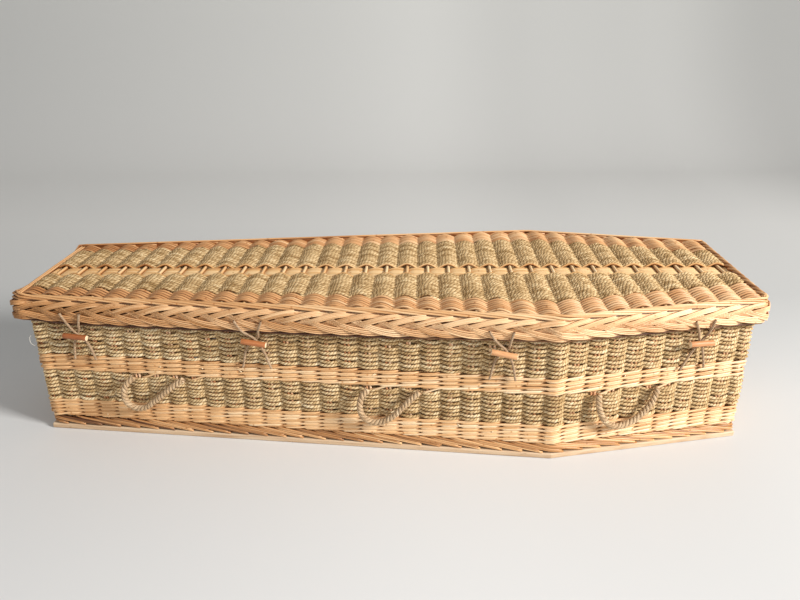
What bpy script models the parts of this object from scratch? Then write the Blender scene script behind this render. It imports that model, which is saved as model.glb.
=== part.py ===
"""A woven coffin of seagrass cord and willow on a wooden base board.

The plan is a long hexagon, narrow at the foot (-X), widest at the shoulder and narrow again at
the head (+X). The front is -Y and the origin is on the floor under the middle. The basket is
woven on pairs of upright stakes, in bands of willow and panels of seagrass. The lid is woven on
sticks that run across it, has a plaited skirt, and lies loose on the basket's rim, held by eight
wooden toggles and their twine. Six rope handles hang from the basket's middle band.
All lengths are in metres.
"""

import math

import bmesh
import bpy
from mathutils import Matrix, Vector

# Plan of the lid, at the outer line of its top edge
LID_LENGTH = 1.940
FOOT_WIDTH = 0.402
SHOULDER_WIDTH = 0.674
HEAD_WIDTH = 0.446
SHOULDER_X = 0.438

# Heights above the floor
BOARD_TOP = 0.015
FOOT_BORDER_TOP = 0.050
FOOT_BAND_TOP = 0.097
LOWER_PANEL_TOP = 0.187
MIDDLE_BAND_TOP = 0.235
UPPER_PANEL_TOP = 0.340
RIM_TOP = 0.399
PLAIT_BOTTOM = 0.349
PLAIT_TOP = 0.404
LID_TOP = 0.422

# The basket's wall, measured in from the lid's outer line
WALL_INSET = 0.018
WALL_THICKNESS = 0.022
BOARD_PROUD = 0.003
RIM_PROUD = 0.004
GAP = 0.0003

# Pairs of stakes stand this many spaces apart along each side of the plan
LONG_SPACES = 26
SHORT_SPACES = 10
HEAD_SPACES = 8
FOOT_SPACES = 7
COLUMN_RELIEF = 0.0085
COLUMN_HALF_WIDTH = 0.29
WALE_ROW_HEIGHT = 0.0118
WALE_RELIEF = 0.0022
BORDER_PITCH = 0.0535
BORDER_RELIEF = 0.005
BORDER_SLANT = 0.75

# The plaited skirt of the lid
PLAIT_PITCH = 0.065
PLAIT_BULGE = 0.003
PLAIT_TUCK = 0.005
PLAIT_RELIEF = 0.004
PLAIT_TIP_REACH = 0.042
PLAIT_INNER = 0.012

# The lid's woven top, on sticks that run across it
STICKS = 33
STICK_SPAN = 1.862
LID_UNDERSIDE = RIM_TOP + GAP
RIB_VALLEY = 0.4120
SEAGRASS_CREST = 0.4255
WILLOW_CREST = 0.4230
STRIP_FRONT = -0.052
STRIP_BACK = 0.014
STRIP_TOP = 0.4105
STICK_TOP = 0.4135
STICK_RADIUS = 0.0045
EDGE_SIDE = 0.014
EDGE_FOOT = 0.014
EDGE_HEAD = 0.018
BAND_FOOT = 0.053
BAND_SHOULDER = 0.088
BAND_HEAD = 0.099

# Toggles: side of the plan, distance from its left end, height, tilt in degrees, then how far
# right of the peg the two strands of twine are, the falling one first: on the plait, at the
# skirt's foot, over the peg, under it and on the middle band
PEG_LENGTH = 0.066
PEG_RADIUS = 0.0075
PEG_DEPTH = 0.0238
TWINE_RADIUS = 0.0030
TWINE_TOP = 0.373
SKIRT_FOOT = 0.343
TWINE_BOTTOM = 0.229
TOGGLES = (
    (0, 0.139, 0.305, -4.3, (-0.029, -0.018, -0.005, 0.021, 0.0355),
     (0.026, 0.0155, 0.001, -0.014, -0.026)),
    (0, 0.627, 0.3105, -7.5, (-0.0455, -0.030, -0.001, 0.0155, 0.035),
     (0.026, 0.014, 0.006, -0.022, -0.042)),
    (0, 1.262, 0.311, -10.0, (-0.0385, -0.020, 0.002, 0.0165, 0.0315),
     (0.021, 0.014, 0.010, -0.0155, -0.034)),
    (1, 0.369, 0.309, -1.6, (-0.027, -0.012, -0.0015, 0.0105, 0.029),
     (0.025, 0.020, 0.018, -0.003, -0.038)),
)

# Rope handles: side of the plan, and the route seen from outside as (distance along the side,
# height, distance out from the wall)
ROPE_RADIUS = 0.0085
HANDLES = (
    (0, ((0.276, 0.184, 0.0095), (0.257, 0.168, 0.017), (0.246, 0.141, 0.022),
         (0.250, 0.110, 0.021), (0.270, 0.093, 0.018), (0.297, 0.095, 0.017),
         (0.327, 0.116, 0.017), (0.359, 0.143, 0.017), (0.390, 0.168, 0.014),
         (0.415, 0.184, 0.0095))),
    (0, ((0.916, 0.184, 0.0095), (0.900, 0.163, 0.017), (0.896, 0.134, 0.022),
         (0.905, 0.107, 0.021), (0.926, 0.092, 0.018), (0.950, 0.093, 0.017),
         (0.975, 0.106, 0.017), (1.000, 0.131, 0.017), (1.025, 0.160, 0.014),
         (1.051, 0.184, 0.0095))),
    (1, ((0.112, 0.184, 0.0095), (0.112, 0.156, 0.017), (0.121, 0.127, 0.022),
         (0.138, 0.104, 0.021), (0.160, 0.090, 0.018), (0.184, 0.089, 0.017),
         (0.208, 0.098, 0.017), (0.231, 0.114, 0.017), (0.252, 0.138, 0.016),
         (0.266, 0.162, 0.013), (0.273, 0.184, 0.0095))),
)

# Colours (linear), roughness
COLOURS = {
    "willow": ((0.56, 0.30, 0.11), 0.5),
    "seagrass": ((0.46, 0.36, 0.18), 0.8),
    "board": ((0.60, 0.44, 0.28), 0.7),
    "peg": ((0.52, 0.20, 0.07), 0.5),
    "twine": ((0.28, 0.20, 0.13), 0.9),
    "rope": ((0.50, 0.36, 0.20), 0.9),
}


def material(name):
    """The shared material of that name, made on first use."""
    found = bpy.data.materials.get(name)
    if found:
        return found
    colour, roughness = COLOURS[name]
    made = bpy.data.materials.new(name)
    made.use_nodes = True
    shader = made.node_tree.nodes["Principled BSDF"]
    shader.inputs["Base Color"].default_value = (*colour, 1.0)
    shader.inputs["Roughness"].default_value = roughness
    shader.inputs["Metallic"].default_value = 0.0
    return made


def add_object(name, data, material_name, collection):
    made = bpy.data.objects.new(name, data)
    data.materials.append(material(material_name))
    collection.objects.link(made)
    return made


def plan_outline(insets):
    """The six corners of the plan, moved in from the lid's outer line. insets is one distance, or
    one for each side: front long, front short, head, back short, back long and foot."""
    if not isinstance(insets, (tuple, list)):
        insets = (insets,) * 6
    half = LID_LENGTH / 2
    corners = [
        Vector((-half, -FOOT_WIDTH / 2)),
        Vector((SHOULDER_X, -SHOULDER_WIDTH / 2)),
        Vector((half, -HEAD_WIDTH / 2)),
        Vector((half, HEAD_WIDTH / 2)),
        Vector((SHOULDER_X, SHOULDER_WIDTH / 2)),
        Vector((-half, FOOT_WIDTH / 2)),
    ]
    moved = []
    for index, corner in enumerate(corners):
        before = outward((corner - corners[index - 1]).normalized())
        after = outward((corners[(index + 1) % 6] - corner).normalized())
        matrix = Matrix((before, after))
        distances = Vector((
            before.dot(corner) - insets[index - 1],
            after.dot(corner) - insets[index],
        ))
        moved.append(matrix.inverted() @ distances)
    return moved


def outward(direction):
    """The outward normal of a side that runs anticlockwise, seen from above."""
    return Vector((direction.y, -direction.x))


def side_frame(side, inset=WALL_INSET):
    """A side's left end, its direction, its outward normal and its length."""
    corners = plan_outline(inset)
    start = corners[side]
    along = corners[(side + 1) % 6] - start
    return start, along.normalized(), outward(along.normalized()), along.length


def on_wall(side, distance, height, out):
    """A point given by its distance along a side of the basket, its height, and how far out."""
    start, direction, normal, _ = side_frame(side)
    flat = start + direction * distance + normal * out
    return Vector((flat.x, flat.y, height))


def column_outline(inset, relief):
    """The plan of a woven panel, as six sides that each start at their corner. It stands proud
    at each pair of stakes, and dips between them."""
    counts = (LONG_SPACES, SHORT_SPACES, HEAD_SPACES, SHORT_SPACES, LONG_SPACES, FOOT_SPACES)
    shares = ((COLUMN_HALF_WIDTH, 0.0), (0.5, relief), (1 - COLUMN_HALF_WIDTH, 0.0))
    outline = []
    for side, count in enumerate(counts):
        start, direction, normal, length = side_frame(side, inset)
        points = [start]
        for column in range(count):
            for share, depth in shares:
                place = length * (column + share) / count
                points.append(start + direction * place - normal * depth)
        outline.append(points)
    return outline


def leaning_outline(pitch, edges, shift):
    """The plan of a border of leaning strands at one height, as six sides. edges gives each edge
    of a strand as its share of the pitch and its distance in from the lid's line. shift moves
    the strands along the side by a share of the pitch, and fades out towards the corners."""
    outline = []
    for side in range(6):
        count = round(side_frame(side, 0.0)[3] / pitch)
        points = []
        for strand in range(count):
            for share, inset in edges:
                place = strand + share
                place += shift * min(1.0, place / 2, (count - place) / 2)
                corners = plan_outline(inset)
                points.append(corners[side].lerp(corners[(side + 1) % 6], place / count))
        outline.append(points)
    return outline


def ring_mesh(name, levels, inset, material_name, collection):
    """A closed wall around the plan. levels are outlines with equal counts, from the bottom of
    the outer face to its top. The inner face is plain, inset from the lid's line."""
    mesh = bmesh.new()
    loops = [[mesh.verts.new(point) for side in level for point in side] for level in levels]
    count = len(loops[0])
    for lower, upper in zip(loops, loops[1:]):
        for index in range(count):
            following = (index + 1) % count
            mesh.faces.new((lower[index], lower[following], upper[following], upper[index]))
    corners = plan_outline(inset)
    rings = []
    for level in (levels[0], levels[-1]):
        height = level[0][0].z
        rings.append([mesh.verts.new((p.x, p.y, height)) for p in corners])
    bottom, top = rings
    first = 0
    for side in range(6):
        following = (side + 1) % 6
        mesh.faces.new((bottom[side], top[side], top[following], bottom[following]))
        last = first + len(levels[0][side])
        for loop, ring in ((loops[0], bottom), (loops[-1], top)):
            edge = [loop[index % count] for index in range(first, last + 1)]
            mesh.faces.new(edge + [ring[following], ring[side]])
        first = last
    bmesh.ops.recalc_face_normals(mesh, faces=mesh.faces)
    data = bpy.data.meshes.new(name)
    mesh.to_mesh(data)
    mesh.free()
    return add_object(name, data, material_name, collection)


def at_height(outline, height):
    return [[Vector((p.x, p.y, height)) for p in side] for side in outline]


def plain_level(inset, height):
    return at_height([[corner] for corner in plan_outline(inset)], height)


def seagrass_panel(name, bottom, top, collection):
    """A panel of the basket's wall, with a column at every pair of stakes."""
    outline = column_outline(WALL_INSET, COLUMN_RELIEF)
    levels = [at_height(outline, bottom + GAP), at_height(outline, top)]
    ring_mesh(name, levels, WALL_INSET + WALL_THICKNESS, "seagrass", collection)


def willow_band(name, bottom, top, collection, proud=0.0):
    """A band of willow rows round the basket, each row rounded."""
    rows = max(1, round((top - bottom) / WALE_ROW_HEIGHT))
    height = (top - bottom - GAP) / rows
    levels = []
    for row in range(rows):
        for share, depth in ((0.0, WALE_RELIEF), (0.3, 0.0), (0.7, 0.0)):
            level_height = bottom + GAP + (row + share) * height
            levels.append(plain_level(WALL_INSET - proud + depth, level_height))
    levels.append(plain_level(WALL_INSET - proud + WALE_RELIEF, top))
    ring_mesh(name, levels, WALL_INSET + WALL_THICKNESS, "willow", collection)


def leaning_ring(name, bottom, top, pitch, surface, shifts, inset, collection):
    """A border of leaning strands. surface gives, for each level, how far in from the lid's line
    the proud and the sunk edge of a strand are, and shifts how far the level's strands move."""
    levels = []
    for index, ((proud, sunk), shift) in enumerate(zip(surface, shifts)):
        height = bottom + (top - bottom) * index / (len(surface) - 1)
        edges = ((0.0, sunk), (0.16, proud), (0.94, sunk))
        levels.append(at_height(leaning_outline(pitch, edges, shift), height))
    ring_mesh(name, levels, inset, "willow", collection)


def base_board(collection):
    """The board that the basket stands on, with its edges eased."""
    corners = plan_outline(WALL_INSET - BOARD_PROUD)
    mesh = bmesh.new()
    face = mesh.faces.new([mesh.verts.new((p.x, p.y, 0.0)) for p in corners])
    sides = bmesh.ops.extrude_face_region(mesh, geom=[face])
    raised = [item for item in sides["geom"] if isinstance(item, bmesh.types.BMVert)]
    bmesh.ops.translate(mesh, verts=raised, vec=(0.0, 0.0, BOARD_TOP))
    bmesh.ops.recalc_face_normals(mesh, faces=mesh.faces)
    data = bpy.data.meshes.new("base_board")
    mesh.to_mesh(data)
    mesh.free()
    board = add_object("base_board", data, "board", collection)
    eased = board.modifiers.new("Eased edges", "BEVEL")
    eased.width = 0.003
    eased.segments = 1
    eased.limit_method = "ANGLE"


def rib_profile(crest, valley, half_width):
    """The height of the lid's top along X: a rib over every stick."""
    pitch = STICK_SPAN / (STICKS - 1)
    points = []
    for stick in range(-1, STICKS + 1):
        middle = -STICK_SPAN / 2 + stick * pitch
        points += [
            (middle - half_width * pitch, crest),
            (middle + half_width * pitch, crest),
            (middle + pitch / 2, valley),
        ]
    return points


def strip_profile():
    """The flat strip lies under each stick and rises a little between them."""
    pitch = STICK_SPAN / (STICKS - 1)
    points = []
    for stick in range(-1, STICKS + 1):
        middle = -STICK_SPAN / 2 + stick * pitch
        points += [
            (middle - STICK_RADIUS, STRIP_TOP - 0.004),
            (middle - STICK_RADIUS * 0.7, STICK_TOP),
            (middle + STICK_RADIUS * 0.7, STICK_TOP),
            (middle + STICK_RADIUS, STRIP_TOP - 0.004),
            (middle + pitch / 2, STRIP_TOP),
        ]
    return points


def ribbed_slab(name, profile, plan, material_name, collection, cutters):
    """A slab of the lid's top: the profile along X, drawn right across the lid, and kept only
    inside the plan."""
    slab = bmesh.new()
    half = SHOULDER_WIDTH
    edge = [(profile[0][0], LID_UNDERSIDE)] + list(profile) + [(profile[-1][0], LID_UNDERSIDE)]
    face = slab.faces.new([slab.verts.new((x, -half, z)) for x, z in edge])
    drawn = bmesh.ops.extrude_face_region(slab, geom=[face])
    far = [item for item in drawn["geom"] if isinstance(item, bmesh.types.BMVert)]
    bmesh.ops.translate(slab, verts=far, vec=(0.0, 2 * half, 0.0))
    bmesh.ops.recalc_face_normals(slab, faces=slab.faces)
    data = bpy.data.meshes.new(name)
    slab.to_mesh(data)
    slab.free()
    made = add_object(name, data, material_name, collection)

    prism = bpy.data.curves.new(name + "_plan", "CURVE")
    prism.dimensions = "2D"
    prism.fill_mode = "BOTH"
    prism.extrude = 2 * LID_TOP
    spline = prism.splines.new("POLY")
    spline.points.add(len(plan) - 1)
    for point, corner in zip(spline.points, plan):
        point.co = (corner.x, corner.y, 0.0, 1.0)
    spline.use_cyclic_u = True
    flat = bpy.data.objects.new(name + "_plan", prism)
    cutters.objects.link(flat)
    cutter = curve_to_mesh(flat, name + "_cutter", cutters)
    cut = made.modifiers.new("Plan", "BOOLEAN")
    cut.operation = "INTERSECT"
    cut.solver = "EXACT"
    cut.object = cutter


def curve_to_mesh(flat, name, collection):
    """A closed mesh copy of a filled curve, which takes the curve's place as a cutter."""
    graph = bpy.context.evaluated_depsgraph_get()
    data = bpy.data.meshes.new_from_object(flat.evaluated_get(graph))
    mesh = bmesh.new()
    mesh.from_mesh(data)
    bmesh.ops.remove_doubles(mesh, verts=mesh.verts, dist=1e-5)
    bmesh.ops.recalc_face_normals(mesh, faces=mesh.faces)
    mesh.to_mesh(data)
    mesh.free()
    made = bpy.data.objects.new(name, data)
    made.matrix_world = flat.matrix_world
    made.hide_render = True
    made.display_type = "WIRE"
    collection.objects.link(made)
    bpy.data.objects.remove(flat)
    return made


def lid_top(collection, cutters):
    """The woven top of the lid: willow bands at the sides, seagrass between, a strip along the
    middle."""
    edge = plan_outline((EDGE_SIDE + GAP,) * 2 + (EDGE_HEAD + GAP,) + (EDGE_SIDE + GAP,) * 2
                        + (EDGE_FOOT + GAP,))
    foot_x, head_x = edge[0].x, edge[2].x
    band = band_line(foot_x, head_x)
    willow = rib_profile(WILLOW_CREST, RIB_VALLEY, COLUMN_HALF_WIDTH)
    seagrass = rib_profile(SEAGRASS_CREST, RIB_VALLEY, COLUMN_HALF_WIDTH)
    for name, sign in (("near", -1), ("far", 1)):
        outer = [Vector((p.x, sign * abs(p.y))) for p in edge[:3]]
        inner = [Vector((x, sign * (y + GAP))) for x, y in reversed(band)]
        ribbed_slab(f"lid_{name}_willow_band", willow, outer + inner, "willow", collection, cutters)
        start = STRIP_FRONT - GAP if sign < 0 else STRIP_BACK + GAP
        panel = [Vector((foot_x, start)), Vector((head_x, start))]
        panel += [Vector((x, sign * y)) for x, y in reversed(band)]
        ribbed_slab(f"lid_{name}_seagrass_panel", seagrass, panel, "seagrass", collection, cutters)
    strip = [Vector((foot_x, STRIP_FRONT)), Vector((head_x, STRIP_FRONT)),
             Vector((head_x, STRIP_BACK)), Vector((foot_x, STRIP_BACK))]
    ribbed_slab("lid_centre_strip", strip_profile(), strip, "willow", collection, cutters)


def band_line(foot_x, head_x):
    """Where the seagrass ends and the willow band starts, as (x, distance from the middle)."""
    line = plan_outline((0.0,) * 6)
    foot, shoulder, head = line[0], line[1], line[2]
    half = abs(foot.y) + (abs(shoulder.y) - abs(foot.y)) * (foot_x - foot.x) / (shoulder.x - foot.x)
    end = abs(head.y) + (abs(shoulder.y) - abs(head.y)) * (head.x - head_x) / (head.x - shoulder.x)
    return [
        (foot_x, half - BAND_FOOT),
        (shoulder.x, abs(shoulder.y) - BAND_SHOULDER),
        (head_x, end - BAND_HEAD),
    ]


def lid_edge(collection):
    """The long rods laid over the lid's edge, on top of the plait."""
    outer = ((0.003, PLAIT_TOP + GAP), (-0.001, 0.409), (-0.001, 0.415), (0.006, LID_TOP))
    levels = [plain_level(inset, height) for inset, height in outer]
    inner = (EDGE_SIDE,) * 2 + (EDGE_HEAD,) + (EDGE_SIDE,) * 2 + (EDGE_FOOT,)
    ring_mesh("lid_edge_rods", levels, inner, "willow", collection)


def lid_plait(collection):
    """The plait on the lid's skirt: leaning strands that meet at mid height in points. It bulges
    at mid height, and its foot is tucked in."""
    insets = (PLAIT_TUCK, -PLAIT_BULGE, 0.0)
    surface = [(inset, inset + PLAIT_RELIEF) for inset in insets]
    reach = PLAIT_TIP_REACH / PLAIT_PITCH
    leaning_ring("lid_plait", PLAIT_BOTTOM, PLAIT_TOP, PLAIT_PITCH, surface, (reach, 0.0, reach),
                 PLAIT_INNER, collection)


def foot_border(collection):
    """The border at the basket's foot: the stakes' ends, laid down to the right in turn."""
    surface = [(WALL_INSET, WALL_INSET + BORDER_RELIEF)] * 2
    leaning_ring("foot_border", BOARD_TOP + GAP, FOOT_BORDER_TOP, BORDER_PITCH, surface,
                 (BORDER_SLANT, 0.0), WALL_INSET + WALL_THICKNESS, collection)


def tube(name, points, radius, roundness, material_name, collection):
    """A cord along the points, as a curve with a round bevel and filled caps."""
    data = bpy.data.curves.new(name, "CURVE")
    data.dimensions = "3D"
    data.bevel_depth = radius
    data.bevel_resolution = roundness
    data.use_fill_caps = True
    spline = data.splines.new("POLY")
    spline.points.add(len(points) - 1)
    for target, point in zip(spline.points, points):
        target.co = (*point, 1.0)
    add_object(name, data, material_name, collection)


def mirrored(point):
    return Vector((point.x, -point.y, point.z))


def toggle(name, entry, is_back, collection):
    """A peg that lies across two crossing strands of twine, which tie the lid to the basket."""
    side, middle, height, tilt, falling, rising = entry
    place = mirrored if is_back else Vector
    _, direction, _, _ = side_frame(side)
    bpy.ops.mesh.primitive_cylinder_add(vertices=10, radius=PEG_RADIUS, depth=PEG_LENGTH)
    peg = bpy.context.object
    peg.name = name + "_peg"
    peg.data.name = peg.name
    axis = Vector((direction.x, direction.y, math.tan(math.radians(tilt))))
    peg.location = place(on_wall(side, middle, height, PEG_DEPTH))
    peg.rotation_euler = place(axis).to_track_quat("Z", "Y").to_euler()
    peg.data.materials.append(material("peg"))
    peg.data.shade_smooth()
    eased = peg.modifiers.new("Eased ends", "BEVEL")
    eased.width = 0.0008
    eased.segments = 1
    eased.limit_method = "ANGLE"
    eased.angle_limit = math.radians(50)
    for linked in list(peg.users_collection):
        linked.objects.unlink(peg)
    collection.objects.link(peg)

    levels = (TWINE_TOP, SKIRT_FOOT, height + 0.008, height - 0.018, TWINE_BOTTOM)
    strands = (
        ("falling", falling, PEG_DEPTH - PEG_RADIUS - TWINE_RADIUS - GAP),
        ("rising", rising, PEG_DEPTH - PEG_RADIUS - 3 * TWINE_RADIUS - 0.002),
    )
    for strand, offsets, crossing in strands:
        depths = (0.0265, 0.0208, crossing, crossing * 0.88, TWINE_RADIUS + 2 * GAP)
        points = [place(on_wall(side, middle + offset, level, depth))
                  for offset, level, depth in zip(offsets, levels, depths)]
        tube(f"{name}_twine_{strand}", points, TWINE_RADIUS, 1, "twine", collection)


def handle(name, entry, is_back, collection):
    """A rope that comes out under the middle band, hangs in a loop and goes back in."""
    side, route = entry
    place = mirrored if is_back else Vector
    points = [place(on_wall(side, *point)) for point in route]
    tube(name, points, ROPE_RADIUS, 2, "rope", collection)


def build():
    for leftover in list(bpy.data.objects):
        bpy.data.objects.remove(leftover)
    coffin = bpy.data.collections.new("seagrass_coffin")
    cutters = bpy.data.collections.new("cutters")
    for collection in (coffin, cutters):
        bpy.context.scene.collection.children.link(collection)

    base_board(coffin)
    foot_border(coffin)
    willow_band("foot_willow_band", FOOT_BORDER_TOP, FOOT_BAND_TOP, coffin)
    seagrass_panel("lower_seagrass_panel", FOOT_BAND_TOP, LOWER_PANEL_TOP, coffin)
    willow_band("middle_willow_band", LOWER_PANEL_TOP, MIDDLE_BAND_TOP, coffin)
    seagrass_panel("upper_seagrass_panel", MIDDLE_BAND_TOP, UPPER_PANEL_TOP, coffin)
    willow_band("top_rim", UPPER_PANEL_TOP, RIM_TOP, coffin, RIM_PROUD)
    lid_plait(coffin)
    lid_edge(coffin)
    lid_top(coffin, cutters)
    for face, is_back in (("front", False), ("back", True)):
        for number, entry in enumerate(TOGGLES, 1):
            toggle(f"{face}_toggle_{number}", entry, is_back, coffin)
        for number, entry in enumerate(HANDLES, 1):
            handle(f"{face}_rope_handle_{number}", entry, is_back, coffin)


build()
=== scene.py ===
"""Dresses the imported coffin: every woven band strand by strand, the lid's plait and edge, the
board, pegs, twine and ropes, with their materials, in soft studio light. Lengths in metres.
"""

import math

import bpy
import numpy as np
from mathutils import Matrix, Vector


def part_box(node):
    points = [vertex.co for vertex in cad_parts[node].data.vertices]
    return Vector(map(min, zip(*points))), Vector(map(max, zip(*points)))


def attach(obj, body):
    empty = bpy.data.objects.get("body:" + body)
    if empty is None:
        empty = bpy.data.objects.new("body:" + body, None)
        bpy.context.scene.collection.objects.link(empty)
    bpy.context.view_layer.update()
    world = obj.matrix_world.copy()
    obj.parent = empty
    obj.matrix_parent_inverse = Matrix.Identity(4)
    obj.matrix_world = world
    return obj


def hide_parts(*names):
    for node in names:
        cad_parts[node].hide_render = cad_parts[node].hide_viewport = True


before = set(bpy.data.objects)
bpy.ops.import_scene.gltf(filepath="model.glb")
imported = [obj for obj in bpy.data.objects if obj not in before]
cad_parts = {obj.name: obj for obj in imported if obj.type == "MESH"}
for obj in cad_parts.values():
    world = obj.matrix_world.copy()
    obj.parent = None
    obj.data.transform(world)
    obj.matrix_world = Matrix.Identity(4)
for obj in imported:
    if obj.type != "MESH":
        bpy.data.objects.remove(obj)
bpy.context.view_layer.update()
chance = np.random.default_rng(7)

# Plan of the lid, at the outer line of its top edge
LID_LENGTH = 1.940
FOOT_WIDTH = 0.402
SHOULDER_WIDTH = 0.674
HEAD_WIDTH = 0.446
SHOULDER_X = 0.438
OUTLINE = ((-LID_LENGTH / 2, FOOT_WIDTH / 2), (SHOULDER_X, SHOULDER_WIDTH / 2),
           (LID_LENGTH / 2, HEAD_WIDTH / 2))
WALL_INSET = 0.018

# Pairs of stakes: spaces along front long, front short, head, back short, back long and foot
SPACES = (26, 10, 8, 10, 26, 7)
COLUMNS = sum(SPACES)
STAKE_INSET = 0.0298
STAKE_RADIUS = 0.0034
STAKE_SPREAD = 0.085
CORNER_RADIUS = 0.004

# Strands of the basket, and how far its corners swell at the foot end and elsewhere
CORD_RADIUS = 0.0044
ROD_RADIUS = 0.0032
TRACK_RADIUS = 0.0033
CUT_END_RADIUS = 0.0019
PLY_PITCH = 0.0088
CORD_FALL = 0.0026
CORD_SAG = 0.0100
WALE_CLIMB = 0.0033
BASKET_SWELL = (0.0060, 0.0045)

# The rim: a woven row at its foot, and layers of long rods on both of its faces
RIM_ROW_RADIUS = 0.0036
RIM_ROW_LEVEL = 0.0075
RIM_RADIUS = 0.0041
RIM_REACH = 0.0068
RIM_FIRST = 0.0185
RIM_LAYER = 0.0080
RIM_LAYERS = 5

# The lid's woven top
STICKS = 33
STICK_SPAN = 1.862
STICK_RADIUS = 0.0048
STICK_CENTRE = 0.4110
LID_CORD_RADIUS = 0.0045
LID_ROD_RADIUS = 0.0036
STRIP_ROD_RADIUS = 0.0046
STRIP_EDGE_RADIUS = 0.0034
LID_ROW = 0.0121
SHORTEST_ROW = 0.08
BAND_FOOT = 0.053
BAND_SHOULDER = 0.088
BAND_HEAD = 0.099
EDGE_LIP = 0.0080
STRIP_FRONT = -0.052
STRIP_BACK = 0.014
STRIP_RODS = 6

# The plait and the rods over the lid's edge, in equal steps round the lid
PLAIT_STEPS = 72
PLAIT_BUNDLES = 6
PLAIT_RODS = 4
PLAIT_ROD_RADIUS = 0.0023
EDGE_ROD_RADIUS = 0.0034
EDGE_BEND = 0.0065
EDGE_CORE_RADIUS = 0.0040
ROLL_RADIUS = 0.0046
ROLL_TURN = 0.085

# Toggles: side, distance from its left end, height, tilt in degrees, then how far right of the
# peg the two strands of twine are, the falling one first: on the plait, at the skirt's foot,
# over the peg, under it and on the middle band
PEG_LENGTH = 0.066
PEG_RADIUS = 0.0075
PEG_DEPTH = 0.0238
TWINE_RADIUS = 0.0030
TWINE_LAID_RADIUS = 0.0033
TWINE_LAY = 0.013
TWINE_TOP = 0.373
SKIRT_FOOT = 0.343
TWINE_BOTTOM = 0.229
TOGGLES = (
    (0, 0.139, 0.305, -4.3, (-0.029, -0.018, -0.005, 0.021, 0.0355),
     (0.026, 0.0155, 0.001, -0.014, -0.026)),
    (0, 0.627, 0.3105, -7.5, (-0.0455, -0.030, -0.001, 0.0155, 0.035),
     (0.026, 0.014, 0.006, -0.022, -0.042)),
    (0, 1.262, 0.311, -10.0, (-0.0385, -0.020, 0.002, 0.0165, 0.0315),
     (0.021, 0.014, 0.010, -0.0155, -0.034)),
    (1, 0.369, 0.309, -1.6, (-0.027, -0.012, -0.0015, 0.0105, 0.029),
     (0.025, 0.020, 0.018, -0.003, -0.038)),
)
# Each peg's tone, darker towards the foot end: painted light and shade, as the light falls from the
# right
PEG_PAINTED_LIGHT = (0.05, 0.35, 0.85, 0.62)

# Rope handles: side, and the route as (distance along the side, height, distance from the wall)
ROPE_RADIUS = 0.0085
ROPE_LAY = 0.034
HAIR_RADIUS = 0.00022
HAIRS = 90
HANDLES = (
    (0, ((0.276, 0.184, 0.0095), (0.257, 0.168, 0.017), (0.246, 0.141, 0.022),
         (0.250, 0.110, 0.021), (0.270, 0.093, 0.018), (0.297, 0.095, 0.017),
         (0.327, 0.116, 0.017), (0.359, 0.143, 0.017), (0.390, 0.168, 0.014),
         (0.415, 0.184, 0.0095))),
    (0, ((0.916, 0.184, 0.0095), (0.900, 0.163, 0.017), (0.896, 0.134, 0.022),
         (0.905, 0.107, 0.021), (0.926, 0.092, 0.018), (0.950, 0.093, 0.017),
         (0.975, 0.106, 0.017), (1.000, 0.131, 0.017), (1.025, 0.160, 0.014),
         (1.051, 0.184, 0.0095))),
    (1, ((0.112, 0.184, 0.0095), (0.112, 0.156, 0.017), (0.121, 0.127, 0.022),
         (0.138, 0.104, 0.021), (0.160, 0.090, 0.018), (0.184, 0.089, 0.017),
         (0.208, 0.098, 0.017), (0.231, 0.114, 0.017), (0.252, 0.138, 0.016),
         (0.266, 0.162, 0.013), (0.273, 0.184, 0.0095))),
)

# Every laid cord: plies, points in one turn of a ply, and the radius share between two plies
PLIES = 3
POINTS_PER_LAY = 14
GROOVE = 0.74

# The photo's camera, solved from the lid's corners: degrees down, to the left and rolled
LENS = 31.5
SENSOR_WIDTH = 36.0
CAMERA_PLACE = (0.1014, -1.861, 1.103)
CAMERA_TURN = (22.891, 1.997, -0.809)

# The floor that curves up into the backdrop, the greys of its painted shade from left to right, and
# the light
FLOOR_FRONT = -6.0
FLOOR_HALF = 9.0
CURVE_START = 3.0
CURVE_RADIUS = 1.5
CURVE_STEPS = 24
BACKDROP_TOP = 6.0
FLOOR_PAINTED_SHADE = ((0.0, 0.97), (0.36, 0.97), (0.50, 0.99), (0.66, 0.85), (0.82, 0.80), (1.0, 0.64))
SKY_STRENGTH = 0.31

THREAD_RADIUS = 0.0006
SEED_SPREAD = 53.0
UP = np.array((0.0, 0.0, 1.0))
WHITE = (255, 255, 255)


def srgb(red, green, blue):
    """A screen colour as the renderer's own numbers."""
    return tuple((value / 255) ** 2.2 for value in (red, green, blue))


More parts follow.
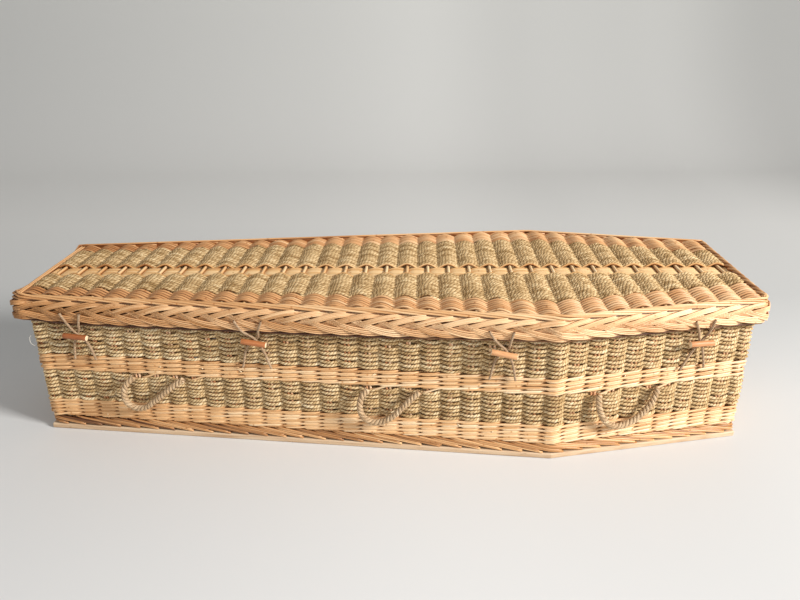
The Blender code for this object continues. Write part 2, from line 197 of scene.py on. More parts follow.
class Shader:
    """Builds one node material."""

    def __init__(self, name, roughness, specular):
        self.material = bpy.data.materials.new(name)
        self.material.use_nodes = True
        self.nodes = self.material.node_tree.nodes
        self.links = self.material.node_tree.links
        self.surface = self.nodes["Principled BSDF"]
        self.surface.inputs["Roughness"].default_value = roughness
        self.surface.inputs["Specular IOR Level"].default_value = specular

    def node(self, kind, inputs=None, **settings):
        """A new node of a kind, named without the prefix, with its inputs set or linked."""
        made = self.nodes.new("ShaderNode" + kind)
        for key, value in settings.items():
            setattr(made, key, value)
        for key, value in (inputs or {}).items():
            if isinstance(value, bpy.types.NodeSocket):
                self.links.new(value, made.inputs[key])
            else:
                made.inputs[key].default_value = value
        return made

    def math(self, operation, first, second=0.0):
        return self.node("Math", {0: first, 1: second}, operation=operation).outputs[0]

    def times(self, first, second):
        return self.math("MULTIPLY", first, second)

    def plus(self, *terms):
        total = terms[0]
        for term in terms[1:]:
            total = self.math("ADD", total, term)
        return total

    def blend(self, *parts):
        """The sum of some values, each times its share."""
        return self.plus(*(self.times(value, share) for value, share in parts))

    def aside(self, share):
        """How far a share is from a half."""
        return self.math("ABSOLUTE", self.math("SUBTRACT", share, 0.5))

    def split(self, vector):
        """The first two parts of a vector."""
        return self.node("SeparateXYZ", {0: vector}).outputs[:2]

    def place(self):
        """Places in the object's own frame."""
        return self.node("TexCoord").outputs["Object"]

    def strand(self):
        """Metres along the strand and the share of the way round it."""
        return self.split(self.node("UVMap", uv_map="strand").outputs[0])

    def value(self, name):
        """A number stored on the mesh: tone drifts along a strand, seed is fixed for each."""
        return self.node("Attribute", attribute_name=name).outputs["Fac"]

    def seed(self):
        """The strand's own number, spread wide enough to pick other noise for each."""
        return self.times(self.value("seed"), SEED_SPREAD)

    def vector(self, x, y, z=0.0):
        return self.node("CombineXYZ", {0: x, 1: y, 2: z}).outputs[0]

    def noise(self, vector, detail=2.0, roughness=0.5):
        shape = {"Vector": vector, "Scale": 1.0, "Detail": detail, "Roughness": roughness}
        return self.node("TexNoise", shape).outputs["Fac"]

    def streaks(self, per_metre, per_turn, detail=3.0, roughness=0.55):
        """Noise drawn out along the strand, different on every strand."""
        run, turn = self.strand()
        place = self.vector(self.times(run, per_metre), self.times(turn, per_turn), self.seed())
        return self.noise(place, detail, roughness)

    def grain(self, scale, *shape):
        """Noise through solid wood, drawn out along the coffin."""
        made = self.node("Mapping", {"Vector": self.place(), "Scale": scale})
        return self.noise(made.outputs[0], *shape)

    def painted_crevice_shade(self, shade, start=0.12):
        """Painted shade: darker towards a strand's sides, where it meets its neighbours."""
        _, turn = self.strand()
        return self.tones(self.aside(turn), (start, WHITE), (start + 0.18, shade))

    def painted_light_drift(self, foot, head):
        """A number that changes from the coffin's foot to its middle, and holds to its head:
        painted light and shade along the coffin.
        """
        x, _ = self.split(self.place())
        span = {"Value": x, "From Min": -1.0, "From Max": 0.1, "To Min": foot, "To Max": head}
        return self.node("MapRange", span).outputs[0]

    def ramp(self, factor, stops):
        made = self.node("ValToRGB", {0: factor})
        ramp = made.color_ramp
        while len(ramp.elements) < len(stops):
            ramp.elements.new(0.5)
        for element, (place, colour) in zip(ramp.elements, stops):
            element.position = place
            element.color = (*colour, 1.0)
        return made.outputs[0]

    def tones(self, factor, *stops):
        """A ramp of screen colours."""
        return self.ramp(factor, [(place, srgb(*colour)) for place, colour in stops])

    def mix(self, factor, first, second, blend="MIX"):
        made = self.node("Mix", {0: factor, 6: first, 7: second}, data_type="RGBA",
                         blend_type=blend)
        return made.outputs[2]

    def multiply(self, first, second):
        return self.mix(1.0, first, second, "MULTIPLY")

    def colour(self, value):
        self.links.new(value, self.surface.inputs["Base Color"])

    def finish(self, colour, height, distance):
        """The material, with this colour and this bump."""
        self.colour(colour)
        made = self.node("Bump", {"Height": height, "Distance": distance})
        self.links.new(made.outputs[0], self.surface.inputs["Normal"])
        return self.material


def willow_material(name, dark, middle, pale, painted_crevice_shade=(166, 128, 96), foot=-0.15, head=0.04):
    """Steamed willow: each rod has its own tone, with streaks along it and a darker ring where a
    leaf grew, and painted shade at its sides. foot and head shift the tone at the foot, and from
    the middle to
    the head: painted light and shade along the coffin."""
    shader = Shader(name, 0.40, 0.45)
    wide = shader.streaks(7.0, 1.6, 2.0)
    fine = shader.streaks(30.0, 15.0, 3.0, 0.6)
    blend = shader.plus(shader.blend((wide, 0.34), (fine, 0.14), (shader.value("tone"), 0.60)),
                        shader.painted_light_drift(foot, head))
    tint = shader.tones(blend, (0.02, (84, 48, 26)), (0.30, dark), (0.56, middle), (0.82, pale))
    run, _ = shader.strand()
    ring = shader.math("FRACT", shader.blend((run, 2.9), (shader.value("seed"), 9.0)))
    leaf = shader.tones(shader.aside(ring), (0.0, (214, 190, 166)), (0.010, WHITE))
    tint = shader.multiply(tint, leaf)
    return shader.finish(shader.multiply(tint, shader.painted_crevice_shade(painted_crevice_shade)), fine, 0.0004)


def seagrass_material(name, dark, middle, pale, foot, head):
    """Two-ply seagrass cord: plies that wind round it, each stretch of ply in its own straw
    tone, and blades that run with the ply, with painted shade in the grooves between plies and at
    the cord's sides. foot and head shift the tone as painted light and shade, as they do in willow."""
    shader = Shader(name, 0.70, 0.22)
    run, turn = shader.strand()
    seed = shader.seed()
    uneven = shader.noise(shader.vector(shader.times(run, 24.0), seed), 1.0)
    wound = shader.plus(shader.math("DIVIDE", run, PLY_PITCH), shader.times(turn, 2.0),
                        shader.times(uneven, 1.6))
    across = shader.math("FRACT", wound)
    dome = shader.math("SINE", shader.times(across, math.pi))
    crown = shader.math("POWER", dome, 0.55)
    label = shader.vector(shader.math("FLOOR", wound), seed, 0.5)
    pick = shader.node("TexWhiteNoise", {"Vector": label}, noise_dimensions="3D")
    blades = shader.noise(shader.vector(shader.times(across, 9.0), shader.times(run, 70.0), seed),
                          3.0, 0.65)
    patches = shader.noise(shader.vector(shader.times(run, 9.0), seed))
    blend = shader.plus(shader.blend((blades, 0.46), (pick.outputs[0], 0.22), (patches, 0.36),
                                     (shader.value("tone"), 0.20)), shader.painted_light_drift(foot, head))
    tint = shader.tones(blend, (0.40, dark), (0.60, middle), (0.80, pale))
    # Painted shade in the grooves between the plies.
    tint = shader.multiply(tint, shader.tones(dome, (0.0, (188, 156, 116)), (0.55, WHITE)))
    return shader.finish(shader.multiply(tint, shader.painted_crevice_shade((206, 168, 126), 0.18)),
                         shader.plus(crown, shader.times(blades, 0.30)), 0.0014)


def yarn_material(name, dark, middle, pale, per_turn, depth):
    """Rope and twine: fine fibres that run with each ply, with pale and dark hairs, and painted
    shade in the grooves between plies.
    """
    shader = Shader(name, 0.85, 0.2)
    fibres = shader.streaks(150.0, per_turn, 3.0, 0.7)
    patches = shader.streaks(28.0, 3.0, 2.0)
    blend = shader.blend((fibres, 0.75), (patches, 0.35))
    tint = shader.tones(blend, (0.40, dark), (0.56, middle), (0.74, pale))
    # Painted shade in the grooves between the plies, set by how open each place is.
    painted_groove_shade = shader.tones(shader.value("tone"), (0.0, (120, 96, 74)), (0.55, WHITE))
    return shader.finish(shader.multiply(tint, painted_groove_shade), fibres, depth)


def board_material():
    """Plain softwood, with its grain along the coffin and small dark specks."""
    shader = Shader("board", 0.6, 0.3)
    lines = shader.grain((3.5, 60.0, 130.0), 6.0, 0.6)
    tint = shader.tones(lines, (0.32, (186, 150, 116)), (0.52, (212, 182, 148)),
                        (0.72, (222, 198, 168)))
    specks = shader.tones(shader.grain((16.0, 60.0, 60.0)), (0.24, (150, 116, 84)), (0.32, WHITE))
    return shader.finish(shader.multiply(tint, specks), lines, 0.0008)


def peg_material():
    """Turned pegs in reddish wood with grain lines, and pale cut ends."""
    shader = Shader("peg", 0.45, 0.4)
    streaks = shader.streaks(45.0, 12.0, 4.0, 0.6)
    # Each peg's seed also sets its tone: painted light and shade, darker for the pegs towards the
    # foot.
    blend = shader.blend((streaks, 0.40), (shader.value("seed"), 0.62))
    tint = shader.tones(blend, (0.16, (150, 86, 50)), (0.45, (188, 118, 72)),
                        (0.80, (228, 172, 122)))
    ends = shader.tones(shader.value("tone"), (0.45, (0, 0, 0)), (0.55, WHITE))
    return shader.finish(shader.mix(ends, tint, (*srgb(240, 214, 176), 1.0)), streaks, 0.0005)


def put(name, data):
    """A new object in the scene."""
    made = bpy.data.objects.new(name, data)
    bpy.context.scene.collection.objects.link(made)
    return made


def unit(vectors):
    return vectors / np.maximum(np.linalg.norm(vectors, axis=-1, keepdims=True), 1e-12)


def run_along(points):
    """Metres along a line of points, from its start to each."""
    return np.concatenate([[0.0], np.cumsum(np.linalg.norm(np.diff(points, axis=0), axis=1))])


class Strands:
    """Gathers round strands and makes one mesh of them. The strand map holds metres along the
    strand and the share of the way round it, counted from its inner side."""

    def __init__(self):
        self.points, self.quads, self.maps, self.ends = [], [], [], []
        self.tones, self.seeds = [], []
        self.count = 0

    def add(self, path, outward, radius, sides=8, closed=False, tone=None, flat=1.0, seed=None,
            spin=0.0, lobes=None):
        """One strand along the path. flat stretches it sideways. spin turns it as it goes, and
        lobes gives the radius round it as shares, with a tone for each, which paints shade in a
        rope's grooves."""
        size = len(path)
        if closed:
            heading = np.roll(path, -1, 0) - np.roll(path, 1, 0)
        else:
            heading = np.gradient(path, axis=0)
        heading = unit(heading)
        across = unit(np.cross(heading, np.broadcast_to(outward, path.shape)))
        up = np.cross(across, heading)
        angle = -math.pi + 2 * math.pi * np.arange(sides) / sides
        angle = angle[None, :] + np.broadcast_to(spin, (size,))[:, None]
        width = np.broadcast_to(radius, (size,))[:, None]
        if lobes is not None:
            width = width * lobes[0][None, :]
        squeeze = np.broadcast_to(flat, (size,))[:, None]
        ring = (path[:, None] + up[:, None] * (width * np.cos(angle))[..., None]
                + across[:, None] * (width * squeeze * np.sin(angle))[..., None])
        self.points.append(ring.reshape(-1, 3))
        if tone is None:
            tone = chance.uniform()
        tones = np.repeat(np.broadcast_to(tone, (size,)), sides)
        if lobes is not None:
            tones = np.tile(lobes[1], size)
        self.tones.append(tones)
        self.seeds.append(np.full(size * sides, chance.uniform() if seed is None else seed))

        rows = size if closed else size - 1
        run = run_along(np.vstack([path, path[:1]]))
        i, j = np.meshgrid(np.arange(rows), np.arange(sides), indexing="ij")
        i, j = i.ravel(), j.ravel()
        after, beside = (i + 1) % size, (j + 1) % sides
        corners = np.stack([i * sides + j, i * sides + beside, after * sides + beside,
                            after * sides + j], axis=1)
        self.quads.append(corners + self.count)
        u = np.stack([run[i], run[i], run[i + 1], run[i + 1]], axis=1)
        v = np.stack([j, j + 1, j + 1, j], axis=1) / sides
        self.maps.append(np.stack([u, v], axis=2).reshape(-1, 2))
        if not closed:
            first = self.count + np.arange(sides)
            self.ends.append((first[::-1], 0.0))
            self.ends.append((first + (size - 1) * sides, run[size - 1]))
        self.count += size * sides

    def along(self, plan, place, out, height, *shape):
        """One strand along these places on a plan."""
        path, way = plan.lift(place, out, height)
        self.add(path, way, *shape)

    def build(self, name, material, slot, *replaced):
        faces = np.concatenate(self.quads).tolist()
        maps = [np.concatenate(self.maps)]
        for loop, run in self.ends:
            faces.append(loop.tolist())
            maps.append(np.tile((run, 0.5), (len(loop), 1)))
        mesh = bpy.data.meshes.new(name)
        mesh.from_pydata(np.concatenate(self.points).tolist(), [], faces)
        layer = mesh.uv_layers.new(name="strand")
        layer.data.foreach_set("uv", np.concatenate(maps).ravel().astype(np.float32))
        for key, values in (("tone", self.tones), ("seed", self.seeds)):
            stored = mesh.attributes.new(key, "FLOAT", "POINT")
            stored.data.foreach_set("value", np.concatenate(values).astype(np.float32))
        mesh.shade_smooth()
        mesh.materials.append(material)
        piece = put(name, mesh)
        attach(piece, "root")
        if replaced:
            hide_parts(*replaced)
        return piece


def plan_corners(inset):
    """The plan's six corners, moved in from the lid's outer line."""
    corners = np.array([(x, -y) for x, y in OUTLINE] + list(OUTLINE[::-1]))
    ahead = unit(np.roll(corners, -1, 0) - corners)
    out = np.stack([ahead[:, 1], -ahead[:, 0]], axis=1)
    moved = []
    for index, corner in enumerate(corners):
        lines = np.array([out[index - 1], out[index]])
        moved.append(np.linalg.solve(lines, lines @ corner - inset))
    return np.array(moved)


WALL = plan_corners(WALL_INSET)
MARKS = np.concatenate([[0], np.cumsum(SPACES)])


def wall_ways(side):
    """The directions along a side of the basket and out from it."""
    ahead = unit(WALL[side + 1] - WALL[side])
    return ahead, np.array((ahead[1], -ahead[0]))


def on_wall(side, distance, height, out):
    """A point given by its distance along a side of the basket, its height, and how far out."""
    ahead, out_way = wall_ways(side)
    return np.array((*(WALL[side] + ahead * distance + out_way * out), height))


class Plan:
    """A line round the coffin with rounded corners. Places on it are counted in spaces between
    stakes, or in equal steps round the whole line."""

    def __init__(self, inset, radius, steps=None):
        self.corners = plan_corners(inset)
        self.radius = radius
        ahead = np.roll(self.corners, -1, 0) - self.corners
        self.sides = np.linalg.norm(ahead, axis=1)
        self.ahead = unit(ahead)
        self.facing = np.arctan2(-self.ahead[:, 0], self.ahead[:, 1])
        turn = np.mod(self.facing - np.roll(self.facing, 1), 2 * math.pi)
        self.arc = radius * turn / 2
        self.trim = radius * np.tan(turn / 2)
        lengths = self.sides + (self.arc - self.trim) + np.roll(self.arc - self.trim, -1)
        self.starts = np.concatenate([[0.0], np.cumsum(lengths)])
        if steps:
            self.total = steps
            self.marks = self.starts / self.starts[-1] * steps
        else:
            self.total = COLUMNS
            self.marks = MARKS

    def lift(self, place, out, height):
        """Points in space at these places, and the outward directions there."""
        place, out, height = np.broadcast_arrays(place, out, height)
        run = np.interp(np.mod(place, self.total), self.marks, self.starts)
        side = np.clip(np.searchsorted(self.starts, run, "right") - 1, 0, 5)
        following = (side + 1) % 6
        local = run - self.starts[side]
        straight = self.sides[side] - self.trim[side] - self.trim[following]
        before = np.clip(self.arc[side] - local, 0, None) / self.radius
        past = np.clip(local - self.arc[side] - straight, 0, None) / self.radius
        angle = self.facing[side] - before + past
        out_way = np.stack([np.cos(angle), np.sin(angle)], axis=-1)
        middle = np.clip(local - self.arc[side], 0, straight) + self.trim[side]
        base_way = np.stack([np.cos(self.facing[side]), np.sin(self.facing[side])], axis=-1)
        base = self.corners[side] + self.ahead[side] * middle[:, None]
        flat = base - base_way * self.radius + out_way * (self.radius + out)[:, None]
        return np.column_stack([flat, height]), np.column_stack([out_way, 0.0 * height])


BASKET = Plan(STAKE_INSET, CORNER_RADIUS)


def wander(count, size, smooth):
    """A closed run of small random moves, smoothed over neighbours."""
    knots = max(3, int(count / smooth))
    values = chance.normal(0.0, size, knots)
    places = np.linspace(0, knots, count, endpoint=False)
    return np.interp(places, np.arange(knots + 1), np.append(values, values[0]))


def ease(value, low, high):
    share = np.clip((value - low) / (high - low), 0, 1)
    return share * share * (3 - 2 * share)


def box_levels(node):
    low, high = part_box(node)
    return low[2], high[2]


def exit_places():
    """Where the ropes go into the wall, counted in spaces round the basket, on both sides."""
    places = []
    for side, route in HANDLES:
        length = np.linalg.norm(WALL[side + 1] - WALL[side])
        for end in (route[0], route[-1]):
            place = MARKS[side] + end[0] / length * SPACES[side]
            places += [(place, 1), (MARKS[5] - place, -1)]
    return places


def sag_at_ropes(place):
    """How far the rows sag beside each rope, where it comes out under the middle band."""
    sag = 0.0
    for exit_place, way in exit_places():
        past = (np.mod(place, COLUMNS) - exit_place) * way
        sag = np.maximum(sag, ease(past, -1.2, -0.1) * (1 - ease(past, 0.35, 1.45)))
    return sag


def cord_rows(name, node, rows, sag=False):
    """Rows of twined cord between two levels: two strands that swap at every space, and pass
    each pair of stakes in front by turns. Each comes out from behind slowly, falling, and turns
    back in sharply."""
    low, high = box_levels(node)
    strands = Strands()
    stops = (-0.60, -0.46, -0.32, -0.16, 0.04, 0.22, 0.36, 0.47, 0.60, 0.90, 1.15)
    steps = len(stops) / 2
    phase = np.tile(stops, COLUMNS)
    place = phase + 2.0 * np.repeat(np.arange(COLUMNS), len(stops))
    count = len(place)
    droop = sag_at_ropes(place) if sag else 0.0
    reach = STAKE_RADIUS + CORD_RADIUS * 0.60
    flare = corner_flare(BASKET, place, *BASKET_SWELL)
    front = ease(phase, -0.72, -0.08) * (1 - ease(phase, 0.18, 0.78))
    fall = (1 - 1.35 * ease(phase, -0.62, -0.04) + 0.35 * ease(phase, 0.0, 0.6)
            + ease(phase, 0.6, 1.38))
    for row in range(rows):
        share = (row + 0.5) / rows
        level = low + (high - low) * share
        out = -reach + (2 * reach + 0.0012) * front + wander(count, 0.0004, steps) + flare
        height = level + CORD_FALL * fall - 0.0004
        height = height + wander(count, 0.0011, steps) + wander(count, 0.0009, steps * 9)
        height -= CORD_SAG * droop * share ** 3
        size = CORD_RADIUS * (1 + wander(count, 0.08, steps * 2))
        tone = 0.5 + wander(count, 0.3, steps * 7)
        strands.along(BASKET, place, out, height, size, 7, True, tone, 1.14 - 0.24 * front)
    strands.build(name, CORD, "seagrass", node)


def wale_strand(strands, level, start, radius):
    """One of three rods that weave together: in front of two stakes, low and then high, then
    behind one."""
    stops = (0.0, 0.26, 0.40, 0.56, 0.74, 1.02, 1.28, 1.50, 1.72, 1.98, 2.26, 2.44, 2.60, 2.74)
    steps = len(stops) / 3
    w = np.tile(stops, COLUMNS // 3)
    place = start + w + 3.0 * np.repeat(np.arange(COLUMNS // 3), len(stops))
    count = len(place)
    place = place + wander(count, 0.035, steps * 4)
    front = ease(w, 0.28, 0.74) * (1 - ease(w, 2.26, 2.72))
    reach = STAKE_RADIUS + radius * 0.95
    out = -reach + 2 * reach * front + corner_flare(BASKET, place, *BASKET_SWELL)
    climb = np.sin(np.clip((w - 1.5) / 0.95, -1, 1) * math.pi / 2)
    climb = climb - 2 * ease(w, 2.5, 3.3) + 2 * (1 - ease(w, -0.5, 0.3))
    height = level + WALE_CLIMB * climb + wander(count, 0.0006, steps * 3)
    size = radius * (0.80 + 0.34 * front + wander(count, 0.06, steps * 8))
    out += wander(count, 0.0003, steps * 2)
    # Painted shade: the tone drops where the rod runs behind the stakes.
    tone = 0.60 + wander(count, 0.18, steps * 9) - 0.16 * (1 - front)
    strands.along(BASKET, place, out, height, size, 6, True, tone)


def bowed_rods(strands, low):
    """The lowest rod beside each rope, pushed down where the rope comes out."""
    for exit_place, way in exit_places():
        w = np.linspace(0.0, 1.0, 12)
        height = low - 0.0115 + 0.0165 * ease(w, -0.05, 0.85)
        out = 0.0068 - 0.0100 * ease(w, 0.85, 1.0) - 0.0060 * (1 - ease(w, 0.0, 0.10))
        strands.along(BASKET, exit_place + way * (0.10 + 1.25 * w), out, height,
                      ROD_RADIUS * 0.95, 7, False, 0.75)


def cut_ends(strands, low, high, count):
    """Short ends of rods that poke out of a band where a new rod was worked in."""
    for _ in range(count):
        place = chance.uniform(0, COLUMNS)
        level = chance.uniform(low + 0.006, high - 0.006)
        way = chance.choice((-1.0, 1.0))
        w = np.linspace(0.0, 1.0, 4)
        strands.along(BASKET, place + way * 0.14 * w, 0.0058 + 0.0042 * w ** 2,
                      level - 0.0030 * w, CUT_END_RADIUS, 6, False, 1.1)


def wale_rows(name, node, rows, ends, bowed=False, lower=0.0):
    """Rows of willow rods woven in threes, with some cut ends. lower moves the band's foot."""
    low, high = box_levels(node)
    low -= lower
    pitch = (high - low) / rows
    strands = Strands()
    for row in range(rows):
        for rod in range(3):
            wale_strand(strands, low + (row + 0.5) * pitch, rod + row, ROD_RADIUS)
    if bowed:
        bowed_rods(strands, low)
    cut_ends(strands, low, high, ends)
    strands.build(name, WILLOW, "willow", node)


def stakes():
    """A pair of upright willow stakes in every column."""
    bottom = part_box("foot_border")[0][2] + 0.002
    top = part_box("top_rim")[1][2] - 0.003
    strands = Strands()
    for column in range(COLUMNS):
        for side in (-1, 1):
            place = column + side * STAKE_SPREAD + chance.normal(0, 0.012)
            lean = np.linspace(0, chance.normal(0, 0.03), 4)
            strands.along(BASKET, place + lean, 0.0012, np.linspace(bottom, top, 4), STAKE_RADIUS,
                          6)
    strands.build("stakes", STAKE, "willow")


def foot_track():
    """The border at the foot: each pair of stakes is laid down to the right over the next ones
    and cut off on the board's edge."""
    low, high = box_levels("foot_border")
    strands = Strands()
    for column in range(COLUMNS):
        lift_off = 0.010 * max(0.0, 1 - column / 5)
        for rod in range(2):
            span = 2.55 + rod * 0.10 + chance.normal(0, 0.05)
            w = np.linspace(-0.15, span, 13)
            settle = ease(w, -0.15, 0.45)
            fall = np.clip(w / span, 0, 1)
            out = -0.0015 + 0.0088 * settle + 0.0034 * fall
            height = high - 0.0050 - rod * 0.0060 - lift_off * 0.6
            height = height + (low + 0.0052 - rod * 0.0032 - height) * fall
            height += chance.normal(0, 0.0004)
            strands.along(BASKET, column + w, out + 0.0004 * rod, height, TRACK_RADIUS, 7, False,
                          chance.uniform(-0.12, 0.48))
    strands.build("foot_track", WILLOW, "willow", "foot_border")


def rim():
    """The rim under the lid: a row of rods at its foot, and long rods laid above it."""
    low, _ = box_levels("top_rim")
    strands = Strands()
    for rod in range(3):
        wale_strand(strands, low + RIM_ROW_LEVEL, rod, RIM_ROW_RADIUS)
    place = np.arange(COLUMNS * 2) / 2
    count = len(place)
    for layer in range(RIM_LAYERS):
        level = low + RIM_FIRST + layer * RIM_LAYER
        for out in (RIM_REACH, -RIM_REACH):
            strands.along(BASKET, place, out + wander(count, 0.0004, 6),
                          level + wander(count, 0.0005, 6), RIM_RADIUS, 6, True)
    strands.build("rim_rods", RIM, "willow", "top_rim")


def plait():
    """The plaited skirt: six flat bundles that weave over and under, each of four rods."""
    low, high = box_levels("lid_plait")
    high = high + 0.003
    plan = Plan(0.002, 0.006, PLAIT_STEPS)
    strands = Strands()
    samples = 5
    place = np.arange(PLAIT_STEPS * samples) / samples
    count = len(place)
    middle = (low + high) / 2
    half = (high - low) / 2
    share = np.mod(place, PLAIT_STEPS) / plan.marks[1]
    sag = 0.14 * ease(share, 0.0, 0.12) * (1 - ease(share, 0.60, 1.0))
    flare = corner_flare(plan, place)
    for bundle in range(PLAIT_BUNDLES):
        swing = 2 * math.pi * (place + bundle) / PLAIT_BUNDLES
        rise = np.sin(swing)
        spread = 0.0035 + 0.0014 * np.clip(-rise, 0, 1) - 0.0004 * np.clip(rise, 0, 1)
        reach = half - PLAIT_ROD_RADIUS - 1.5 * spread
        over = np.tanh(2.4 * np.sin(2 * swing))
        bundle_tone = 0.58 + wander(count, 0.10, samples * 4) + 0.14 * np.clip(rise, 0, 1)
        for rod in range(PLAIT_RODS):
            side = (rod - (PLAIT_RODS - 1) / 2) * spread
            offset = reach * rise + side
            below = np.clip(-offset / half, 0, 1)
            above = np.clip(offset / half, 0, 1)
            out = 0.0044 * over + 0.0014 - 0.0035 * below ** 3 - 0.0030 * above ** 2 + flare
            height = high + (middle + offset - high) * (1 + sag) + wander(count, 0.0003, samples)
            out += wander(count, 0.0003, samples)
            size = PLAIT_ROD_RADIUS * (1 + wander(count, 0.05, samples * 3))
            tone = bundle_tone + chance.normal(0, 0.06) + wander(count, 0.05, samples * 2)
            strands.along(plan, place, out, height, size, 6, True, tone)
    foot = high + (low - 0.0034 - high) * (1 + sag)
    strands.along(plan, place, -0.0050, foot, 0.0030, 6, True, -0.12)
    strands.build("lid_plait_rods", PLAIT, "willow", "lid_plait")


def corner_flare(plan, place, foot=0.0085, others=0.0040):
    """How far the weave swells at the six corners, where its rods are bent round, and how much
    of that at the foot end's two."""
    place = np.mod(place, plan.total)
    gap = np.abs(place[:, None] - plan.marks[None, :])
    size = np.array((foot, others, others, others, others, foot, foot))
    return np.max(size * np.exp(-((gap / 0.42) ** 2)), axis=1)


def line_at(x, y, z):
    """Points in space from arrays or single numbers."""
    return np.column_stack(np.broadcast_arrays(x, y, z))


def edge_rods():
    """Long rods over the lid's edge. Each starts on the inner side, slides outward and down over
    three steps, and ends tucked in above the plait, where painted shade darkens it and a thin dark
    strand is a painted shadow."""
    _, high = box_levels("lid_edge_rods")
    plan = Plan(EDGE_BEND + 0.0025, 0.003, PLAIT_STEPS)
    strands = Strands()
    for step in range(PLAIT_STEPS):
        w = np.linspace(-0.35, 3.25, 15)
        angle = np.radians(np.minimum(28 + 36 * w, 92))
        tuck = 0.005 * ease(w, 2.75, 3.25) + 0.003 * (1 - ease(w, -0.35, 0.1))
        radius = EDGE_BEND - tuck + chance.normal(0, 0.0003) + corner_flare(plan, step + w)
        out = radius * np.sin(angle)
        height = high - 0.0020 - EDGE_ROD_RADIUS - EDGE_BEND + radius * np.cos(angle)
        height -= 0.0058 * ease(w, 1.0, 3.0)
        path, way = plan.lift(step + w, out, height)
        facing = way * np.sin(angle)[:, None] + UP * np.cos(angle)[:, None]
        size = EDGE_ROD_RADIUS * (1.0 - 0.35 * ease(w, 2.1, 3.0))
        # Painted shade: each rod darkens where it tucks in above the plait.
        tone = chance.uniform(0.4, 0.8) - 0.9 * ease(w, 2.25, 2.7)
        strands.add(path, facing, size, 7, False, tone)
        # A thin dark strand on the rod's tucked end: a painted shadow where it slips in.
        w = np.linspace(2.35, 2.95, 5)
        strands.along(plan, step + w, EDGE_BEND + 0.0016, high - 0.0172 - 0.0012 * (w - 2.35),
                      EDGE_ROD_RADIUS * 0.5 * (1 - 0.6 * ease(w, 2.6, 2.95)), 6, False, -0.7)
    place = np.arange(PLAIT_STEPS * 3) / 3
    count = len(place)
    inner = Plan(0.0085, 0.003, PLAIT_STEPS)
    for drop in (0.0125, 0.0190):
        strands.along(inner, place, wander(count, 0.0003, 6), high - drop, EDGE_CORE_RADIUS, 6,
                      True, 0.35 + wander(count, 0.2, 12))
    far = Plan(0.0062, 0.003, PLAIT_STEPS)
    place = np.linspace(far.marks[3] + 0.04, far.marks[5] + 0.05, 90)
    path, _ = far.lift(place, wander(90, 0.0003, 5), high - 0.0012 + wander(90, 0.0003, 5))
    strands.add(path, UP, 0.0036, 8, False, 0.6 + wander(90, 0.15, 9))
    end_rods(strands, high)
    strands.build("lid_edge_strands", EDGE, "willow", "lid_edge_rods")


def end_rods(strands, high):
    """The rods that close the lid's ends: a pair at the foot, and a darker twisted roll at the
    head."""
    count = 24
    half = LID_LENGTH / 2
    for inset, drop, radius in ((0.0078, 0.0052, 0.0036), (0.0142, 0.0060, 0.0034)):
        y = np.linspace(-1, 1, count) * (FOOT_WIDTH / 2 - inset * 0.45)
        points = line_at(inset - half + wander(count, 0.0004, 4), y,
                         high - drop + wander(count, 0.0004, 4))
        strands.add(points, UP, radius, 8, False, 0.72)
    y = np.linspace(-1, 1, 56) * (HEAD_WIDTH / 2 - 0.004)
    for strand in range(3):
        angle = 2 * math.pi * (y / ROLL_TURN + strand / 3)
        points = line_at(half - 0.0118 + 0.0058 * np.cos(angle), y,
                         high - 0.0075 + 0.0042 * np.sin(angle))
        strands.add(points, UP, ROLL_RADIUS, 8, False, 0.10 + 0.20 * strand)


def stick_phase(x):
    """X on the lid, counted in sticks from the foot end."""
    return (x + STICK_SPAN / 2) / STICK_SPAN * (STICKS - 1)


def stick_x(phase):
    return phase / (STICKS - 1) * STICK_SPAN - STICK_SPAN / 2


def lid_row(strands, line, radius, shift, sides=8, flat=1.06, tone_width=0.3, slack=0.0):
    """Two strands that twine along a line on the lid, over and under the sticks by turns. line
    gives Y for X. slack is how far they bend to the front between two sticks."""
    steps = 6
    first, last = stick_phase(line[0][0]), stick_phase(line[-1][0])
    count = max(4, int((last - first) * steps) + 1)
    place = np.linspace(first, last, count)
    x = stick_x(place)
    y = np.interp(x, [p[0] for p in line], [p[1] for p in line])
    slope = np.gradient(y, x)
    reach = STICK_RADIUS + radius * 0.93
    for strand in range(2):
        swing = np.pi * (place + strand + shift)
        front = np.cos(swing + 0.12 * np.sin(2 * swing))
        height = STICK_CENTRE + reach * np.sign(front) * np.abs(front) ** 0.72
        height -= 0.0034 * (1 - np.abs(front))
        side = -0.0024 * np.sin(swing) + wander(count, 0.0006, steps)
        side -= slack * (1 - np.abs(front)) ** 0.8
        points = line_at(x - slope * side, y + side, height + wander(count, 0.0005, steps))
        size = radius * (1 + wander(count, 0.05, steps * 2))
        tone = 0.5 + wander(count, tone_width, steps * 5)
        strands.add(points, UP, size, sides, False, tone, flat - 0.10 * np.abs(np.sin(swing)))


def edge_half(x):
    """Half the lid's width at X, at its outer line."""
    return np.interp(x, *zip(*OUTLINE))


def reach_of(x, limit):
    """The first and the last X where limit is positive."""
    inside = x[limit > 0]
    return (inside[0], inside[-1]) if len(inside) else (0.0, 0.0)


